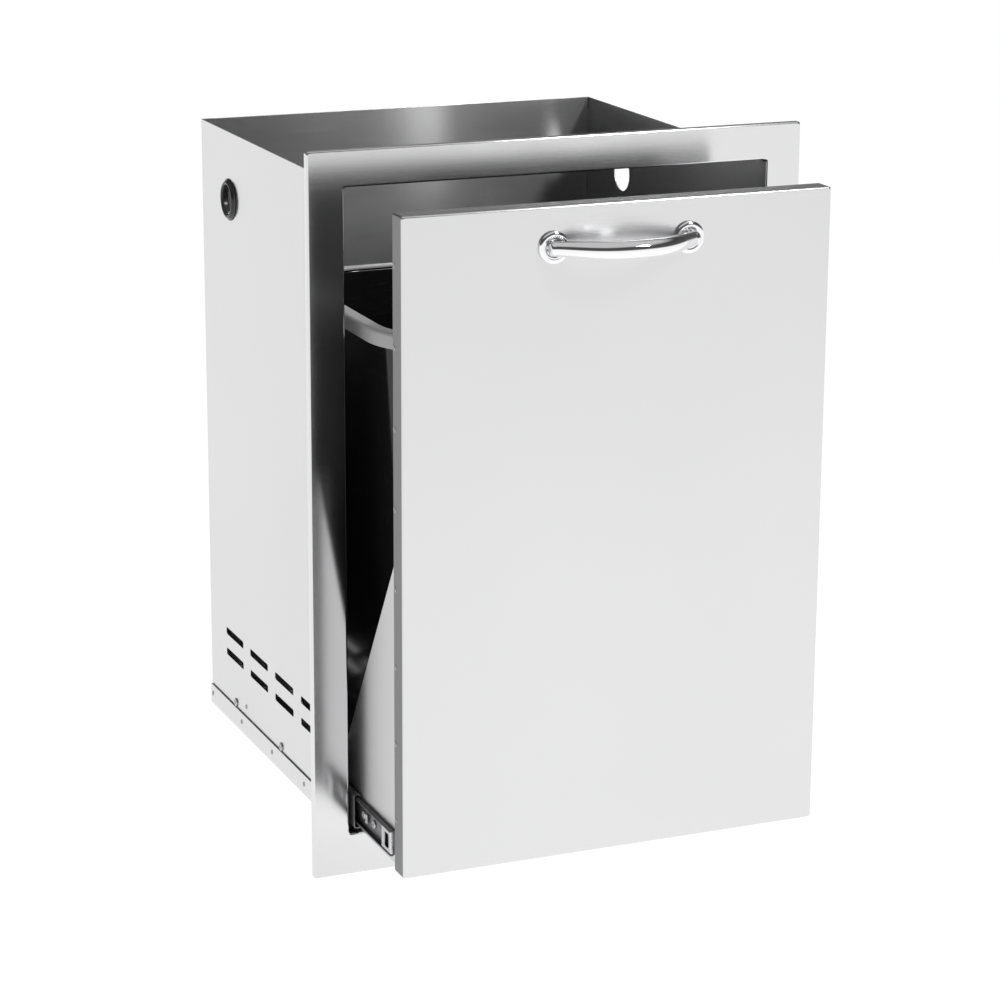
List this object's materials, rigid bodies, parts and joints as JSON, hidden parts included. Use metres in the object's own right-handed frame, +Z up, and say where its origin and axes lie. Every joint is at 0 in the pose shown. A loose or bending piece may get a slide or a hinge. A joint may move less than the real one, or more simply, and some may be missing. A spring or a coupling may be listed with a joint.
{
  "type": "pull-out trash drawer",
  "caption": "Built-in stainless steel pull-out waste drawer: vented open-topped housing with a face frame, ball-bearing slides, inset door with a bow handle, and a lift-out tub.",
  "frame": {"origin": "centre of the underside of the housing's base pan", "axes": "+Z up, +X to the right seen from the front, -Y towards the user; the drawer pulls out along -Y"},
  "size_m": [0.508, 0.6103, 0.712],
  "materials": {
    "housing_steel": "brushed stainless, fine horizontal grain",
    "frame_steel": "brushed stainless, fine horizontal grain",
    "door_steel": "brushed stainless, fine horizontal grain",
    "drawer_steel": "satin stainless",
    "handle_chrome": "polished",
    "slide_steel": "black zinc",
    "zinc": "bright zinc",
    "bin_plastic": "gloss black",
    "rim_plastic": "moulded, satin",
    "rubber": "matt",
    "nylon": "moulded"
  },
  "bodies": {
    "housing": {"face_frame": "frame_steel", "left_side_wall": "housing_steel", "right_side_wall": "housing_steel", "back_panel": "housing_steel", "base_pan": "housing_steel", "left_grommet": "rubber", "rail_screw_left_front": "zinc", "rail_screw_left_middle": "zinc", "rail_screw_left_rear": "zinc", "rail_screw_right_front": "zinc", "rail_screw_right_middle": "zinc", "rail_screw_right_rear": "zinc", "outer_rail_left": "slide_steel", "outer_rail_right": "slide_steel", "rail_bumper_left": "rubber", "rail_bumper_right": "rubber"},
    "outer_cage_left": {"outer_ball_cage_left": "zinc"},
    "outer_cage_right": {"outer_ball_cage_right": "zinc"},
    "middle_member_left": {"middle_rail_left": "slide_steel"},
    "middle_member_right": {"middle_rail_right": "slide_steel"},
    "inner_cage_left": {"inner_ball_cage_left": "zinc"},
    "inner_cage_right": {"inner_ball_cage_right": "zinc"},
    "drawer": {"inner_rail_left": "slide_steel", "inner_rail_right": "slide_steel", "slide_end_clip_left": "zinc", "slide_end_clip_right": "zinc", "drawer_screw_left_front": "zinc", "drawer_screw_left_middle": "zinc", "drawer_screw_left_rear": "zinc", "drawer_screw_right_front": "zinc", "drawer_screw_right_middle": "zinc", "drawer_screw_right_rear": "zinc", "side_bracket_left": "drawer_steel", "side_bracket_right": "drawer_steel", "drawer_tray": "drawer_steel", "rear_cross_panel": "drawer_steel", "door_front_panel": "door_steel", "door_back_panel": "door_steel", "handle_bar": "handle_chrome", "handle_rosette_left": "handle_chrome", "handle_rosette_right": "handle_chrome", "handle_screw_left": "zinc", "handle_screw_right": "zinc"},
    "lever_left": {"release_lever_left": "nylon"},
    "lever_right": {"release_lever_right": "nylon"},
    "bin": {"waste_bin": "bin_plastic", "bag_ring": "rim_plastic"}
  },
  "joints": [
    {"name": "drawer_slide", "type": "slide", "parent": "housing", "child": "drawer", "axis": [0, -1, 0], "range_m": [-0.138, 0.262]},
    {"name": "middle_slide_left", "type": "slide", "parent": "housing", "child": "middle_member_left", "axis": [0, -1, 0], "range_m": [-0.069, 0.131]},
    {"name": "middle_slide_right", "type": "slide", "parent": "housing", "child": "middle_member_right", "axis": [0, -1, 0], "range_m": [-0.069, 0.131]},
    {"name": "outer_cage_slide_left", "type": "slide", "parent": "housing", "child": "outer_cage_left", "axis": [0, -1, 0], "range_m": [-0.0345, 0.0655]},
    {"name": "outer_cage_slide_right", "type": "slide", "parent": "housing", "child": "outer_cage_right", "axis": [0, -1, 0], "range_m": [-0.0345, 0.0655]},
    {"name": "inner_cage_slide_left", "type": "slide", "parent": "housing", "child": "inner_cage_left", "axis": [0, -1, 0], "range_m": [-0.1035, 0.1965]},
    {"name": "inner_cage_slide_right", "type": "slide", "parent": "housing", "child": "inner_cage_right", "axis": [0, -1, 0], "range_m": [-0.1035, 0.1965]},
    {"name": "lever_press_left", "type": "hinge", "parent": "drawer", "child": "lever_left", "pos_m": [-0.2104, -0.1475, 0.027], "axis": [1, 0, 0], "range_deg": [-7, 7], "stiffness_Nm_per_rad": 0.02},
    {"name": "lever_press_right", "type": "hinge", "parent": "drawer", "child": "lever_right", "pos_m": [0.2104, -0.1475, 0.027], "axis": [1, 0, 0], "range_deg": [-7, 7], "stiffness_Nm_per_rad": 0.02},
    {"name": "bin_lift", "type": "slide", "parent": "drawer", "child": "bin", "axis": [0, 0, 1], "range_m": [0, 0.12]}
  ],
  "couplings": [
    {"joint": "middle_slide_left", "follows": "drawer_slide", "ratio": 0.5},
    {"joint": "middle_slide_right", "follows": "drawer_slide", "ratio": 0.5},
    {"joint": "outer_cage_slide_left", "follows": "drawer_slide", "ratio": 0.25},
    {"joint": "outer_cage_slide_right", "follows": "drawer_slide", "ratio": 0.25},
    {"joint": "inner_cage_slide_left", "follows": "drawer_slide", "ratio": 0.75},
    {"joint": "inner_cage_slide_right", "follows": "drawer_slide", "ratio": 0.75}
  ]
}
